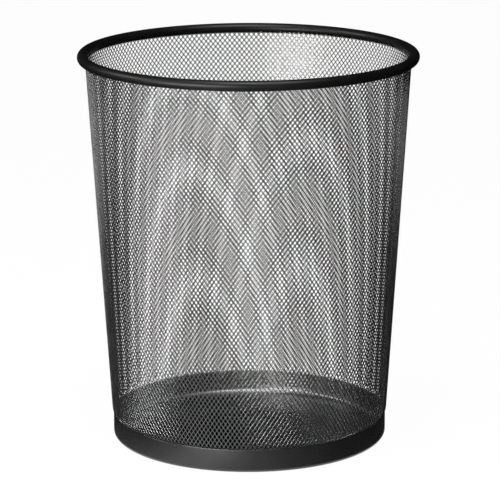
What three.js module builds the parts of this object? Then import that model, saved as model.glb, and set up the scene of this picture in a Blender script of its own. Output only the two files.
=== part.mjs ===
// Round mesh wastebasket: a drawn base pan, a tapered wall of expanded sheet steel and a rolled rim.
// Millimetres, +Z up. The origin is the middle of the face that the basket stands on.

import * as THREE from 'three';

// Whole basket
const overallHeight = 342.6;
const seatGap = 0.3; // left free between two pieces that seat on each other

// Rolled rim: a tube bent from strip, open along a slot that takes the wall's top edge
const rimDiameter = 295;
const rimTubeDiameter = 9;
const rimSheet = 0.8;
const slotInset = 0.2; // from the tube's inside, where it lies nearest the axis, to the slot

// Base pan: floor, rounded corner and skirt, drawn from one sheet
const baseDiameter = 240.4;
const skirtHeight = 20.7;
const panSheet = 0.8;
const panCornerRadius = 4; // on the outside
const panelDiameter = 196; // the floor inside its standing ring is pressed up a little
const panelRise = 2;
const panelStep = 6; // width of the slope round the raised panel

// Mesh wall: expanded sheet, tucked into the skirt, jogged out over its edge and tapered up to the rim
const wallSheet = 0.8;
const shoulderOverhang = 1; // how far the wall stands out past the skirt
const shoulderRise = 3;
const topHemShowing = 1; // plain strip between the openings and the rim
const diamondsRound = 28;
const strandWidth = 5.6;
const strandLength = 25.4; // from junction to junction, the same all over the wall

// How finely the curves are cut
const segmentsRound = 2 * diamondsRound;
const tubeSteps = 14;
const boreSteps = 10;
const cornerSteps = 4;

// Places worked out from the sizes above
const tubeRadius = rimTubeDiameter / 2;
const boreRadius = tubeRadius - rimSheet;
const rimCentreRadius = rimDiameter / 2 - tubeRadius;
const rimCentreHeight = overallHeight - tubeRadius;
const skirtRadius = baseDiameter / 2;
const footRadius = skirtRadius - panSheet - seatGap - wallSheet / 2;
const shoulderRadius = skirtRadius + shoulderOverhang - wallSheet / 2;
const shoulderHeight = skirtHeight + shoulderRise;
const underRim = rimCentreHeight - tubeRadius;
const innerCheek = boreRadius - slotInset; // inward from the tube's middle to the slot's nearer side
const rimEntryRadius = rimCentreRadius - innerCheek + seatGap + wallSheet / 2;
const wallTaper = (rimEntryRadius - shoulderRadius) / (underRim - shoulderHeight);
const latticeTop = underRim - topHemShowing;
const halfDiamond = Math.PI / diamondsRound; // angle round the axis

const rimFinish = new THREE.MeshStandardMaterial({ color: 0x141517, roughness: 0.22 });
const wallFinish = new THREE.MeshStandardMaterial({ color: 0x1b1c1e, roughness: 0.38, flatShading: true });
const panFinish = new THREE.MeshStandardMaterial({ color: 0x18191b, roughness: 0.3 });

// Middle radius of the tapered wall at a height
function wallRadius(height) {
  return shoulderRadius + (height - shoulderHeight) * wallTaper;
}

// Points on a circle round a centre, from one angle to another
function arc(centreX, centreY, radius, from, to, steps) {
  const points = [];
  for (let i = 0; i <= steps; i++) {
    const angle = from + ((to - from) * i) / steps;
    points.push(new THREE.Vector2(centreX + radius * Math.cos(angle), centreY + radius * Math.sin(angle)));
  }
  return points;
}

// A profile of (radius, height) points turned round the upright axis
function turned(name, profile, finish) {
  const mesh = new THREE.Mesh(new THREE.LatheGeometry(profile, segmentsRound), finish);
  mesh.name = name;
  mesh.rotation.x = Math.PI / 2;
  return mesh;
}

// Height of the wall's top edge, inside the tube and clear of its roof
function wallTopHeight() {
  const innerFace = rimCentreRadius - (wallRadius(rimCentreHeight) - wallSheet / 2);
  return rimCentreHeight + Math.sqrt(boreRadius ** 2 - innerFace ** 2) - seatGap;
}

// The rim's section is a C. Its slot's cheeks stand upright on both sides of the wall.
function rim() {
  const outerCheek = rimCentreRadius - (wallRadius(rimCentreHeight) + wallSheet / 2 + seatGap);
  const slotStart = (radius) => Math.PI + Math.acos(outerCheek / radius);
  const slotEnd = (radius) => 3 * Math.PI + Math.acos(innerCheek / radius);
  const outside = arc(rimCentreRadius, 0, tubeRadius, slotStart(tubeRadius), slotEnd(tubeRadius), tubeSteps);
  const inside = arc(rimCentreRadius, 0, boreRadius, slotEnd(boreRadius), slotStart(boreRadius), boreSteps);
  const mesh = turned('rim', [...outside, ...inside, outside[0].clone()], rimFinish);
  mesh.position.z = rimCentreHeight;
  return mesh;
}

// The pan's section runs out along the underside, up the skirt and back along the inside.
function basePan() {
  const cornerRadius = skirtRadius - panCornerRadius;
  const panelRadius = panelDiameter / 2;
  const underside = [
    new THREE.Vector2(0, panelRise),
    new THREE.Vector2(panelRadius, panelRise),
    new THREE.Vector2(panelRadius + panelStep, 0),
  ];
  const outerCorner = arc(cornerRadius, panCornerRadius, panCornerRadius, -Math.PI / 2, 0, cornerSteps);
  const skirtEdge = [
    new THREE.Vector2(skirtRadius, skirtHeight),
    new THREE.Vector2(skirtRadius - panSheet, skirtHeight),
  ];
  const bendInside = panCornerRadius - panSheet;
  const innerCorner = arc(cornerRadius, panCornerRadius, bendInside, 0, -Math.PI / 2, cornerSteps);
  const topside = underside.map((point) => new THREE.Vector2(point.x, point.y + panSheet)).reverse();
  return turned('base_pan', [...underside, ...outerCorner, ...skirtEdge, ...innerCorner, ...topside], panFinish);
}

// Sheet steel built up from pairs of points, one on its outer and one on its inner face
class Sheet {
  constructor(thickness) {
    this.thickness = thickness;
    this.positions = [];
    this.indices = [];
  }

  // One pair, at an angle round the axis, for a middle radius and a height
  pair(angle, radius, height) {
    const first = this.positions.length / 3;
    for (const offset of [this.thickness / 2, -this.thickness / 2]) {
      const reach = radius + offset;
      this.positions.push(reach * Math.cos(angle), reach * Math.sin(angle), height);
    }
    return { outer: first, inner: first + 1 };
  }

  // A flat patch between three or four pairs, given anticlockwise as seen from outside
  patch(...pairs) {
    for (let i = 1; i < pairs.length - 1; i++) {
      this.indices.push(pairs[0].outer, pairs[i].outer, pairs[i + 1].outer);
      this.indices.push(pairs[0].inner, pairs[i + 1].inner, pairs[i].inner);
    }
  }

  // The cut edge through the sheet round an opening, whose pairs run anticlockwise
  cutEdge(pairs) {
    pairs.forEach((from, i) => {
      const to = pairs[(i + 1) % pairs.length];
      this.indices.push(from.outer, to.outer, to.inner);
      this.indices.push(from.outer, to.inner, from.inner);
    });
  }

  geometry() {
    const geometry = new THREE.BufferGeometry();
    geometry.setAttribute('position', new THREE.Float32BufferAttribute(this.positions, 3));
    geometry.setIndex(this.indices);
    geometry.computeVertexNormals();
    return geometry;
  }
}

// Half the way round the wall from one junction to the next in a row
function halfPitch(height) {
  return (Math.PI * wallRadius(height)) / diamondsRound;
}

// How far a strand climbs between two junctions: less where the wall is wider and they lie further apart
function strandRise(height) {
  return Math.sqrt(strandLength ** 2 - halfPitch(height) ** 2);
}

// Heights of the rows of junctions, a whole number of strands from the shoulder to the top hem
function rowHeights() {
  const reach = latticeTop - shoulderHeight;
  const rowCount = Math.round(reach / strandRise(shoulderHeight + reach / 2));
  const climbed = [0];
  for (let row = 0; row < rowCount; row++) {
    climbed.push(climbed[row] + strandRise(shoulderHeight + (reach * (row + 0.5)) / rowCount));
  }
  return climbed.map((climb) => shoulderHeight + (reach * climb) / climbed[rowCount]);
}

// Angle round the axis of an opening's middle. Every other row is shifted by half a diamond, and the
// quarter puts the hems' corners in line with those of the rim and the pan.
function openingAngle(row, column) {
  return (2 * column + (row % 2) + 0.5) * halfDiamond;
}

// One row of diamond openings. Each diamond's corners lie on the lines from its middle to the four
// junctions round it, short of them by half a strand. The hems cut the first and the last row in half.
function openingRow(sheet, heights, row) {
  const height = heights[row];
  const shrink = 1 - (strandWidth / 2) * Math.hypot(1 / halfPitch(height), 1 / strandRise(height));
  const openings = [];
  for (let column = 0; column < diamondsRound; column++) {
    const middle = openingAngle(row, column);
    const corner = (across, junctionHeight) => {
      const level = height + shrink * (junctionHeight - height);
      return sheet.pair(middle + across * shrink * halfDiamond, wallRadius(level), level);
    };
    openings.push({
      right: corner(1, height),
      top: row < heights.length - 1 && corner(0, heights[row + 1]),
      left: corner(-1, height),
      bottom: row > 0 && corner(0, heights[row - 1]),
    });
  }
  return openings;
}

// Metal between the openings: the junction at the right of each one, and the strands that rise from
// its right and left corners
function strands(sheet, rows) {
  rows.forEach((openings, row) => {
    openings.forEach((opening, column) => {
      const beside = (otherRow, step) => rows[otherRow]?.[(column + step + diamondsRound) % diamondsRound];
      const right = beside(row, 1);
      const aboveRight = beside(row + 1, row % 2);
      const aboveLeft = beside(row + 1, (row % 2) - 1);
      const belowRight = beside(row - 1, row % 2);
      sheet.patch(...[opening.right, belowRight?.top, right.left, aboveRight?.bottom].filter(Boolean));
      if (aboveRight) {
        sheet.patch(opening.right, aboveRight.bottom, aboveRight.left, opening.top);
        sheet.patch(opening.left, opening.top, aboveLeft.right, aboveLeft.bottom);
      }
      sheet.cutEdge([opening.right, opening.top, opening.left, opening.bottom].filter(Boolean));
    });
  });
}

// A plain strip between two rings of pairs, the lower one first
function strip(sheet, lower, upper) {
  lower.forEach((pair, i) => {
    const next = (i + 1) % lower.length;
    sheet.patch(pair, lower[next], upper[next], upper[i]);
  });
}

// The ring of pairs along the straight edge of a row of half openings
function latticeEdge(openings) {
  return openings.flatMap((opening) => [opening.left, opening.right]);
}

// An evenly spaced ring of as many pairs, beside the openings of a row
function hemRing(sheet, row, radius, height) {
  const ring = [];
  for (let column = 0; column < diamondsRound; column++) {
    const middle = openingAngle(row, column);
    ring.push(sheet.pair(middle - halfDiamond / 2, radius, height));
    ring.push(sheet.pair(middle + halfDiamond / 2, radius, height));
  }
  return ring;
}

// The lattice hangs between two plain hems: the foot stands in the pan's skirt, and the top one goes
// through the rim's slot into its tube.
function meshWall() {
  const sheet = new Sheet(wallSheet);
  const heights = rowHeights();
  const rows = heights.map((height, row) => openingRow(sheet, heights, row));
  strands(sheet, rows);

  const last = rows.length - 1;
  const footBottom = hemRing(sheet, 0, footRadius, panCornerRadius);
  const footTop = hemRing(sheet, 0, footRadius, skirtHeight);
  strip(sheet, footBottom, footTop);
  strip(sheet, footTop, latticeEdge(rows[0]));
  sheet.cutEdge(footBottom.toReversed());

  const hemBottom = hemRing(sheet, last, wallRadius(underRim), underRim);
  const hemTop = hemRing(sheet, last, wallRadius(wallTopHeight()), wallTopHeight());
  strip(sheet, latticeEdge(rows[last]), hemBottom);
  strip(sheet, hemBottom, hemTop);
  sheet.cutEdge(hemTop);

  const mesh = new THREE.Mesh(sheet.geometry(), wallFinish);
  mesh.name = 'mesh_wall';
  return mesh;
}

const wastebasket = new THREE.Group();
wastebasket.add(basePan(), meshWall(), rim());

export default wastebasket;
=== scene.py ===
"""Black round mesh wastebasket: rolled rim, tapered wall of expanded sheet steel and drawn base pan.

Metres, +Z up, origin in the middle of the face that the basket stands on, front towards -Y.
"""

import math

import bpy
import numpy as np
from mathutils import Matrix, Vector


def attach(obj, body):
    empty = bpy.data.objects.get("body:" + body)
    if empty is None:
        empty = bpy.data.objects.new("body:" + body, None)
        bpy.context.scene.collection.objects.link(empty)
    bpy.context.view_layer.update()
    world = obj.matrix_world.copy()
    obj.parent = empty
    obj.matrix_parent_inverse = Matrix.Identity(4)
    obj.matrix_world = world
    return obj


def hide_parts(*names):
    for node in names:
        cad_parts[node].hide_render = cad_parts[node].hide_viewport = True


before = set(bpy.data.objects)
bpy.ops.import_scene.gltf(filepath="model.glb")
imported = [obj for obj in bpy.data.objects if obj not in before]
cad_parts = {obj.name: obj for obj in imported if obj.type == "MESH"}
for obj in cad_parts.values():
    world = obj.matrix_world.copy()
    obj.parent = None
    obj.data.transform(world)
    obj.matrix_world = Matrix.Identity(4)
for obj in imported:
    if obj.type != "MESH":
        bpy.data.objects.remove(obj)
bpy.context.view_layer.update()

MM = 0.001

# Rolled rim, as a section through its tube
TUBE_RADIUS = 4.5 * MM
TUBE_CENTRE = (143.0 * MM, 338.1 * MM)  # distance from the axis, height
RIM_SHEET = 0.8 * MM
SLOT = (139.5 * MM, 141.25 * MM)  # distances from the axis between which the tube is open below

# Base pan
PAN_RADIUS = 120.2 * MM
SKIRT_HEIGHT = 20.7 * MM
PAN_SHEET = 0.8 * MM
PAN_CORNER = 4.0 * MM
PANEL_RADIUS = 98.0 * MM
PANEL_RISE = 2.0 * MM
PANEL_STEP = 6.0 * MM

# Mesh wall: the middle of its sheet runs through these heights and distances from the axis
WALL_HEIGHTS = np.array([4.0, 20.7, 23.7, 333.6, 340.0]) * MM
WALL_RADII = np.array([118.7, 118.7, 120.8, 140.2, 140.6]) * MM
WALL_FOOT = 4.4 * MM
WALL_TOP = 339.7 * MM
DIAMONDS_ROUND = 200
DIAMOND_TURN = 0.288  # diamonds by which the lattice is turned round the axis at mid-height
DIAMOND_DRIFT = 0.45  # and by how many more each metre further up
DIAMONDS_PER_METRE = (178.42, 64.2, 87.8)  # upwards: at mid-height, its slope, and the slope's slope
MID_HEIGHT = 170.0 * MM
SKIRT_ROW = 20.1 * MM  # height of the row of junctions at the skirt's edge
STRAND_WIDTH = 0.85 * MM
STRAND_DEPTH = 0.67 * MM
WALL_BANDS = 4  # pieces that the wall is cut into, each under 200,000 triangles

# How finely the shapes are cut
TURN_STEPS = 720  # round the axis, for rim and pan
OUTER_TUBE_STEPS = 46
INNER_TUBE_STEPS = 30
CORNER_STEPS = 10
EDGE_STEPS = 8
SLOPE_STEPS = 8
CLIMB_SAMPLES = 4000  # heights at which the climb of the lattice is worked out
DRAPE_STEPS = 120

# Enamel: how many cells of its noise there are to a metre
CLOUD_SCALE = 60
DUST_SCALE = 2600

# Studio
FLOOR_SIZE = 30
FLOOR_WHITE = 0.97  # share of the backdrop's even white in the floor that the camera sees
ROOM_LIGHT = 0.12  # light from all round
AIM_HEIGHT = 0.17  # the lamps face the basket at this height


# Meshes


def piece(name, points, faces, finish, node, creases=()):
    """A smooth piece of the basket, from points (n, 3) and arrays of faces (m, sides), for a CAD node.

    Faces in a pair (array, "flat") are shaded flat. Creases are rings of points (n, ring) whose edges stay
    sharp.
    """
    arrays = [array for array, *_ in faces]
    corners = np.concatenate([array.ravel() for array in arrays])
    used, corners = np.unique(corners, return_inverse=True)
    sides = np.concatenate([np.full(len(array), array.shape[1]) for array in arrays])
    smooth = np.concatenate([np.full(len(array), not flat) for array, *flat in faces])
    mesh = bpy.data.meshes.new(name)
    mesh.vertices.add(len(used))
    mesh.vertices.foreach_set("co", points[used].astype(np.float32).ravel())
    mesh.loops.add(len(corners))
    mesh.loops.foreach_set("vertex_index", corners.astype(np.int32))
    mesh.polygons.add(len(sides))
    mesh.polygons.foreach_set("loop_start", (np.cumsum(sides) - sides).astype(np.int32))
    mesh.polygons.foreach_set("use_smooth", smooth)
    mesh.update(calc_edges=True)
    if creases:
        rings = np.concatenate(creases)
        creased = np.stack([rings, np.roll(rings, -1, 1)], axis=-1).reshape(-1, 2)
        edges = np.empty((len(mesh.edges), 2), np.int32)
        mesh.edges.foreach_get("vertices", edges.ravel())
        keys = [np.sort(pairs, axis=1) @ (len(points), 1) for pairs in (used[edges], creased)]
        mesh.edges.foreach_set("use_edge_sharp", np.isin(*keys))
    mesh.materials.append(finish)
    thing = bpy.data.objects.new(name, mesh)
    bpy.context.scene.collection.objects.link(thing)
    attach(thing, "root")
    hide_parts(node)
    return thing


def arc(centre, radius, start, end, steps):
    """Points on a circle: centre plus radius times (cosine, sine) of even angles from start to end."""
    angle = np.linspace(start, end, steps + 1)
    return np.stack([centre[0] + radius * np.cos(angle), centre[1] + radius * np.sin(angle)], axis=1)


def ring_quads(low, high):
    """Quads (n, 4) between two closed rings of points (n, ring), wound so that they face out of the ring."""
    quads = np.stack([low, np.roll(low, -1, 1), np.roll(high, -1, 1), high], axis=-1)
    return quads.reshape(-1, 4)


def turned(profile, steps):
    """Points and faces of a section (distance from the axis, height) turned round the upright axis.

    Point (i, j) is section point i at angle 2 pi j / steps. The section runs anticlockwise with the axis on
    its left. It closes on itself, or if it starts and ends on the axis, each end is one point with a fan.
    """
    capped = profile[0, 0] == 0
    rings = profile[1:-1] if capped else profile
    angle = 2 * math.pi * np.arange(steps) / steps
    points = np.empty((len(rings), steps, 3))
    points[..., 0] = rings[:, :1] * np.sin(angle)
    points[..., 1] = -rings[:, :1] * np.cos(angle)
    points[..., 2] = rings[:, 1:]
    index = np.arange(len(rings) * steps).reshape(len(rings), steps)
    low = index[:-1] if capped else index
    high = index[1:] if capped else np.roll(index, -1, axis=0)
    quads = ring_quads(low, high)
    points = points.reshape(-1, 3)
    if not capped:
        return points, [(quads,)]
    ends = len(points)
    under = np.stack([np.full(steps, ends), np.roll(index[0], -1), index[0]], axis=-1)
    over = np.stack([np.full(steps, ends + 1), index[-1], np.roll(index[-1], -1)], axis=-1)
    poles = [[0, 0, profile[0, 1]], [0, 0, profile[-1, 1]]]
    return np.vstack([points, poles]), [(quads,), (under,), (over,)]


# Rim and pan


def rim_section():
    """The tube's section is a C: its outside from one cheek of the slot round to the other, then back inside.

    A cheek stands upright at distance d from the axis, so it meets a circle of radius r round the tube's
    middle m at the angle pi plus arccos((m - d) / r).
    """
    near, far = (TUBE_CENTRE[0] - cheek for cheek in SLOT)
    bore = TUBE_RADIUS - RIM_SHEET
    ends = [(math.pi + math.acos(far / r), 3 * math.pi + math.acos(near / r)) for r in (TUBE_RADIUS, bore)]
    outside = arc(TUBE_CENTRE, TUBE_RADIUS, *ends[0], OUTER_TUBE_STEPS)
    inside = arc(TUBE_CENTRE, bore, *ends[1][::-1], INNER_TUBE_STEPS)
    return np.vstack([outside, inside])


def pan_section():
    """The pan's section: along the underside, round the corner, up the skirt, over its edge and back inside.

    The slope round the raised panel follows half a cosine wave. A point halfway out on the panel keeps its
    faces from being too long.
    """
    share = np.linspace(0, 1, SLOPE_STEPS + 1)
    fall = PANEL_RISE * (1 + np.cos(math.pi * share)) / 2
    slope = np.stack([PANEL_RADIUS + PANEL_STEP * share, fall], axis=1)
    underside = np.vstack([[[0, PANEL_RISE], [PANEL_RADIUS * 0.5, PANEL_RISE]], slope])
    corner = (PAN_RADIUS - PAN_CORNER, PAN_CORNER)
    half = PAN_SHEET / 2
    outer = arc(corner, PAN_CORNER, -math.pi / 2, 0, CORNER_STEPS)
    edge = arc((PAN_RADIUS - half, SKIRT_HEIGHT - half), half, 0, math.pi, EDGE_STEPS)
    inner = arc(corner, PAN_CORNER - PAN_SHEET, 0, -math.pi / 2, CORNER_STEPS)
    topside = (underside + [0, PAN_SHEET])[::-1]
    return np.vstack([underside, outer, edge, inner, topside])


def skirt_inside(mesh):
    """Which of the pan's faces are the inside of its skirt and corner, the faces that take the more
    reflective enamel of the painted highlight.

    They lie outside the middle of the corner's arc, and their normal points towards the axis.
    """
    middle, normal = np.empty((2, len(mesh.polygons), 3), np.float32)
    mesh.polygons.foreach_get("center", middle.ravel())
    mesh.polygons.foreach_get("normal", normal.ravel())
    outward = (middle * normal)[:, :2].sum(axis=1)
    return (outward < 0) & (np.hypot(middle[:, 0], middle[:, 1]) > PAN_RADIUS - PAN_CORNER)


# Mesh wall


def diamonds_below(height):
    """How many diamonds the wall climbs from mid-height to a height: a cubic, negative below mid-height."""
    count, slope, bend = DIAMONDS_PER_METRE
    rise = height - MID_HEIGHT
    return count * rise + slope * rise**2 / 2 + bend * rise**3 / 6


def row_heights():
    """Heights of the rows of junctions, half a diamond apart, one of them at the skirt's edge."""
    height = np.linspace(WALL_FOOT, WALL_TOP, CLIMB_SAMPLES)
    climbed = 2 * (diamonds_below(height) - diamonds_below(SKIRT_ROW))
    rows = np.arange(math.ceil(climbed[0]), math.floor(climbed[-1]) + 1)
    return np.interp(rows, climbed, height), rows % 2


def lattice():
    """Corners of the diamond openings as points (row, column, corner, level, 3), with the shift of each row.

    Opening (row, column) stands at the angle (2 column + shift) pi / count. Its corners right, top, left and
    bottom lie on the lines from its middle to the junctions round it, and stop short by half a strand. The
    levels are the sheet's outer face, its middle, where the strands are widest, and its inner face.
    """
    heights, shift = row_heights()
    half_turn = math.pi / DIAMONDS_ROUND
    half_width = half_turn * np.interp(heights, WALL_HEIGHTS, WALL_RADII)
    half_height = np.gradient(heights)
    width = STRAND_WIDTH * np.array([0.5, 1.0, 0.5])
    reach = 1 - width / 2 * np.hypot(1 / half_width, 1 / half_height)[:, None]
    across = np.array([1, 0, -1, 0])[:, None] * reach[:, None, :]
    upward = np.array([0, 1, 0, -1])[:, None] * reach[:, None, :] * half_height[:, None, None]
    height = np.clip(heights[:, None, None] + upward, WALL_HEIGHTS[0], WALL_HEIGHTS[-1])[:, None]
    middle = 2 * np.arange(DIAMONDS_ROUND)[None, :] + shift[:, None]
    turn = 2 * (DIAMOND_TURN + DIAMOND_DRIFT * (height - MID_HEIGHT))
    angle = half_turn * (middle[:, :, None, None] + across[:, None] + turn)
    radius = np.interp(height, WALL_HEIGHTS, WALL_RADII) + STRAND_DEPTH * np.array([0.5, 0.0, -0.5])
    height = np.broadcast_to(height, angle.shape)
    return np.stack([radius * np.sin(angle), -radius * np.cos(angle), height], axis=-1), shift


def mesh_wall(finish):
    """The wall as a closed lattice of strands and junctions, cut into bands of rows.

    A strand is a six-sided tube from the junction beside an opening to the one above it: three points of
    the opening's side, through the sheet, and three of the neighbouring opening's. A junction is a quad on
    each face of the sheet between four openings. A cut goes through the middle of a row of strands, where
    it leaves flat six-sided ends.
    """
    points, shift = lattice()
    rows = len(shift)
    index = np.arange(points[..., 0].size).reshape(points.shape[:-1])
    points = points.reshape(-1, 3)

    def side(row, step, corner):
        return np.roll(index[row], -step, axis=0)[:, corner]

    def strand(row, step):
        """Rings at both ends of the strand at the upper left (step 0) or upper right (1) of an opening."""
        beside, away = (0, 2) if step else (2, 0)
        over = shift[row] - 1 + step
        low = np.hstack([side(row, 0, beside), side(row + 1, over, 3)[:, ::-1]])
        high = np.hstack([side(row, 0, 1), side(row + 1, over, away)[:, ::-1]])
        return (low[:, ::-1], high[:, ::-1]) if step else (low, high)

    def junction(row):
        """Both faces of the junctions to the right of a row's openings."""
        below, above = side(row - 1, shift[row], 1), side(row + 1, shift[row], 3)
        around = (side(row, 0, 0), below, side(row, 1, 2), above)
        outer, inner = (np.stack([corner[:, level] for corner in around], axis=1) for level in (0, 2))
        return [(outer,), (inner[:, ::-1],)]

    cuts = np.linspace(0, rows - 2, WALL_BANDS + 1).astype(int)
    halfway = {}
    for row in cuts:
        for step in (0, 1):
            low, high = strand(row, step)
            halfway[row, step] = len(points) + np.arange(low.size).reshape(low.shape)
            points = np.vstack([points, ((points[low] + points[high]) / 2).reshape(-1, 3)])

    for band, (first, last) in enumerate(zip(cuts[:-1], cuts[1:]), start=1):
        faces, creases = [], []
        for row in range(first, last + 1):
            faces += junction(row) if row > first else []
            for step in (0, 1):
                low, high = strand(row, step)
                if row == first:
                    low = halfway[row, step]
                    faces += [(low[:, ::-1], "flat")]
                if row == last:
                    high = halfway[row, step]
                    faces += [(high, "flat")]
                faces += [(ring_quads(low, high),)]
                creases += [low, high]
        piece(f"mesh_wall_band_{band}", points, faces, finish, "mesh_wall", creases)


# Finishes


def enamel(name, colour, roughness, index, gloss, peel, peel_depth):
    """Baked black enamel on steel, made of object-space noise.

    Fine noise is the paint's orange peel, as bump. Coarser noise changes the gloss and the tone a little from
    place to place, and the finest, cut off high, leaves a few dull specks of dust. Index and gloss are the
    paint's refraction and specular level, and peel is how many cells of orange peel there are to a metre.
    """
    material = bpy.data.materials.new(name)
    material.use_nodes = True
    nodes, links = material.node_tree.nodes, material.node_tree.links
    shader = nodes["Principled BSDF"]
    place = nodes.new("ShaderNodeTexCoord").outputs["Object"]

    def noise(scale, detail):
        node = nodes.new("ShaderNodeTexNoise")
        node.inputs["Scale"].default_value = scale
        node.inputs["Detail"].default_value = detail
        links.new(place, node.inputs["Vector"])
        return node.outputs["Fac"]

    def ramp(source, low, high, start, end):
        node = nodes.new("ShaderNodeMapRange")
        for socket, value in zip(("From Min", "From Max", "To Min", "To Max"), (low, high, start, end)):
            node.inputs[socket].default_value = value
        links.new(source, node.inputs["Value"])
        return node.outputs["Result"]

    clouds = noise(CLOUD_SCALE, detail=3)
    dull = nodes.new("ShaderNodeMath")
    dull.operation = "ADD"
    cloudy = ramp(clouds, low=0.3, high=0.7, start=roughness * 0.85, end=roughness * 1.15)
    specks = ramp(noise(DUST_SCALE, detail=1), low=0.72, high=0.8, start=0, end=0.15)
    links.new(cloudy, dull.inputs[0])
    links.new(specks, dull.inputs[1])
    links.new(dull.outputs[0], shader.inputs["Roughness"])

    tint = nodes.new("ShaderNodeMix")
    tint.data_type = "RGBA"
    tint.inputs["A"].default_value = (*colour, 1)
    tint.inputs["B"].default_value = (*(channel * 1.4 for channel in colour), 1)
    links.new(ramp(clouds, low=0.35, high=0.75, start=0, end=1), tint.inputs["Factor"])
    links.new(tint.outputs["Result"], shader.inputs["Base Color"])

    bump = nodes.new("ShaderNodeBump")
    bump.inputs["Strength"].default_value = 0.35
    bump.inputs["Distance"].default_value = peel_depth
    links.new(noise(peel, detail=2), bump.inputs["Height"])
    links.new(bump.outputs["Normal"], shader.inputs["Normal"])
    shader.inputs["IOR"].default_value = index
    shader.inputs["Specular IOR Level"].default_value = gloss
    return material


def build_basket():
    """The rim and the pan as turned sections and the wall as its lattice, each in its own enamel."""
    rim_points, rim_faces = turned(rim_section(), TURN_STEPS)
    pan_points, pan_faces = turned(pan_section(), TURN_STEPS)
    rim_enamel = enamel(
        "rim_enamel", (0.003, 0.003, 0.0033),
        roughness=0.4, index=1.5, gloss=0.28, peel=700, peel_depth=0.05 * MM,
    )
    pan_enamel = enamel(
        "pan_enamel", (0.007, 0.007, 0.0075),
        roughness=0.2, index=1.5, gloss=0.8, peel=900, peel_depth=0.03 * MM,
    )
    # Painted highlight: a copy of the pan's enamel that reflects about five times as strongly, laid only on
    # the inside of the skirt and corner so that the key lamp's reflection there comes out bright
    skirt_highlight_enamel = enamel(
        "skirt_inside_painted_highlight", (0.006, 0.006, 0.0064),
        roughness=0.33, index=2.4, gloss=0.95, peel=900, peel_depth=0.02 * MM,
    )
    mesh_enamel = enamel(
        "mesh_enamel", (0.004, 0.004, 0.0043),
        roughness=0.2, index=1.8, gloss=1.0, peel=1800, peel_depth=0.03 * MM,
    )
    piece("rim_tube", rim_points, rim_faces, rim_enamel, "rim")
    shell = piece("pan_shell", pan_points, pan_faces, pan_enamel, "base_pan")
    # The inside of the skirt and corner takes the painted highlight's more reflective enamel
    shell.data.materials.append(skirt_highlight_enamel)
    shell.data.polygons.foreach_set("material_index", skirt_inside(shell.data).astype(np.int32))
    mesh_wall(mesh_enamel)


# Studio


def plain(name, colour):
    """A dull finish of one colour with no gloss, for the floor and the drape."""
    material = bpy.data.materials.new(name)
    material.use_nodes = True
    shader = material.node_tree.nodes["Principled BSDF"]
    shader.inputs["Base Color"].default_value = (*colour, 1)
    shader.inputs["Roughness"].default_value = 1
    shader.inputs["Specular IOR Level"].default_value = 0
    return material


def white_seen(tree, lit, white):
    """A number that is lit for lamp and scattered light, and white for what camera, gloss and glass see."""
    rays = tree.nodes.new("ShaderNodeLightPath")
    seen = rays.outputs["Is Camera Ray"]
    for kind in ("Is Glossy Ray", "Is Transmission Ray"):
        either = tree.nodes.new("ShaderNodeMath")
        either.operation = "MAXIMUM"
        tree.links.new(seen, either.inputs[0])
        tree.links.new(rays.outputs[kind], either.inputs[1])
        seen = either.outputs[0]
    level = tree.nodes.new("ShaderNodeMapRange")
    level.inputs["To Min"].default_value = lit
    level.inputs["To Max"].default_value = white
    tree.links.new(seen, level.inputs["Value"])
    return level.outputs["Result"]


def white_ground():
    """Floor paint that is mostly the backdrop's even white and keeps a part of the basket's soft shadow."""
    material = plain("white_ground", (0.95, 0.95, 0.95))
    tree = material.node_tree
    mix = tree.nodes.new("ShaderNodeMixShader")
    tree.links.new(white_seen(tree, lit=0, white=FLOOR_WHITE), mix.inputs["Fac"])
    tree.links.new(tree.nodes["Principled BSDF"].outputs["BSDF"], mix.inputs[1])
    tree.links.new(tree.nodes.new("ShaderNodeEmission").outputs["Emission"], mix.inputs[2])
    tree.links.new(mix.outputs["Shader"], tree.nodes["Material Output"].inputs["Surface"])
    return material


def towards(azimuth, elevation):
    """Direction from the basket. Azimuth 0 is towards the camera and grows towards the viewer's right."""
    a, e = math.radians(azimuth), math.radians(elevation)
    return Vector((math.sin(a) * math.cos(e), -math.cos(a) * math.cos(e), math.sin(e)))


def soft_box(name, azimuth, elevation, distance, width, height, glow):
    """A rectangular lamp whose face has the brightness glow, where a white wall in full light has 1."""
    lamp = bpy.data.lights.new(name, "AREA")
    lamp.shape = "RECTANGLE"
    lamp.size, lamp.size_y = width, height
    lamp.energy = glow * width * height * math.pi
    away = towards(azimuth, elevation)
    light = bpy.data.objects.new(name, lamp)
    place = Matrix.Translation(Vector((0, 0, AIM_HEIGHT)) + away * distance)
    light.matrix_world = place @ away.to_track_quat("Z", "Y").to_matrix().to_4x4()
    light.visible_camera = False
    bpy.context.scene.collection.objects.link(light)


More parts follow.
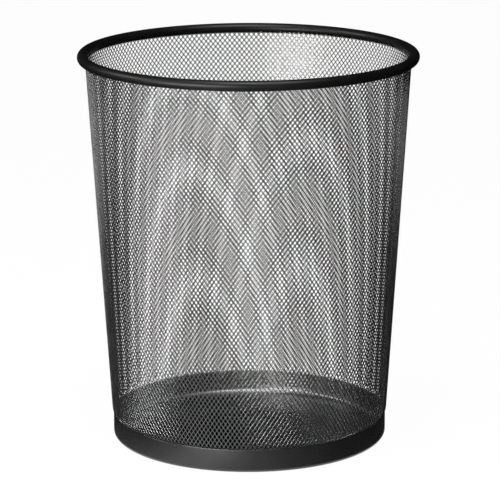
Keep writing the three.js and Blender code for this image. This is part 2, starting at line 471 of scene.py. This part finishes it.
def dark_drape(name, profile, opening, gaps):
    """A black drape that only reflections see: a profile (distance, height) turned round the basket.

    Its openness is the product of one value for each point of the profile and one for each azimuth, where
    gaps holds the azimuths and values between which the latter is interpolated.
    """
    azimuth = np.linspace(-180, 180, DRAPE_STEPS, endpoint=False)
    angle = np.radians(azimuth)
    ring = np.stack([np.sin(angle), -np.cos(angle), np.ones(DRAPE_STEPS)], axis=1)
    points = np.vstack([ring * (distance, distance, height) for distance, height in profile])
    index = np.arange(len(points)).reshape(-1, DRAPE_STEPS)
    cover = 1 - np.outer(opening, np.interp(azimuth, *gaps))
    mesh = bpy.data.meshes.new(name)
    mesh.from_pydata(points.tolist(), [], ring_quads(index[:-1], index[1:]).tolist())
    mesh.attributes.new("cover", "FLOAT", "POINT").data.foreach_set("value", cover.ravel())
    material = plain("drape_black", (0.004, 0.004, 0.004))
    tree = material.node_tree
    mix = tree.nodes.new("ShaderNodeMixShader")
    thickness = tree.nodes.new("ShaderNodeAttribute")
    thickness.attribute_name = "cover"
    tree.links.new(thickness.outputs["Fac"], mix.inputs["Fac"])
    tree.links.new(tree.nodes.new("ShaderNodeBsdfTransparent").outputs["BSDF"], mix.inputs[1])
    tree.links.new(tree.nodes["Principled BSDF"].outputs["BSDF"], mix.inputs[2])
    tree.links.new(mix.outputs["Shader"], tree.nodes["Material Output"].inputs["Surface"])
    mesh.materials.append(material)
    drape = bpy.data.objects.new(name, mesh)
    for ray in ("camera", "diffuse", "transmission", "volume_scatter", "shadow"):
        setattr(drape, f"visible_{ray}", False)
    bpy.context.scene.collection.objects.link(drape)


def studio():
    """Pale floor and backdrop, three soft boxes, and a drape that is open where the room is bright."""
    bpy.ops.mesh.primitive_plane_add(size=FLOOR_SIZE)
    floor = bpy.context.object
    floor.name = "floor"
    floor.data.materials.append(white_ground())

    world = bpy.data.worlds.new("studio")
    bpy.context.scene.world = world
    world.use_nodes = True
    back = world.node_tree.nodes["Background"]
    back.inputs["Color"].default_value = (1, 1, 1, 1)
    world.node_tree.links.new(white_seen(world.node_tree, lit=ROOM_LIGHT, white=1), back.inputs["Strength"])

    soft_box("key_box", azimuth=-35, elevation=5, distance=1.9, width=1.3, height=0.28, glow=37)
    soft_box("side_box", azimuth=-86, elevation=26, distance=1.9, width=0.8, height=0.7, glow=7.5)
    soft_box("top_box", azimuth=5, elevation=71, distance=1.8, width=1.1, height=0.9, glow=9)
    profile = [(0.1215, 0.001), (2.2, 0.001), (2.2, 0.6), (2.2, 1.2), (2.2, 2.0), (0, 2.6)]
    azimuths = [-180, -100, -74, -57, -43, -31, -20, -9, 1, 12, 22, 33, 46, 60, 78, 120, 180]
    openness = [0, 0.015, 0.08, 0.26, 0.56, 0.95, 1, 0.71, 0.45, 0.3, 0.2, 0.11, 0.07, 0.045, 0.03, 0.01, 0]
    dark_drape("drape", profile, [1, 1, 1, 0.6, 0.1, 0], (azimuths, openness))


def camera():
    """The photograph's view: 2.42 m in front, 0.77 m up, looking 14 degrees down through a long lens."""
    stand = (0, -2.42335, 0.7687)
    pan, tilt, roll = -0.00038, -0.24399, -0.00279  # radians
    lens = bpy.data.cameras.new("camera")
    lens.sensor_width = 36
    lens.lens = 205.36
    lens.clip_end = 50
    view = bpy.data.objects.new("camera", lens)
    aim = Matrix.Rotation(pan, 4, "Z") @ Matrix.Rotation(math.pi / 2 + tilt, 4, "X")
    view.matrix_world = Matrix.Translation(stand) @ aim @ Matrix.Rotation(roll, 4, "Z")
    bpy.context.scene.collection.objects.link(view)
    bpy.context.scene.camera = view


build_basket()
studio()
camera()
bpy.context.scene.view_settings.view_transform = "Standard"
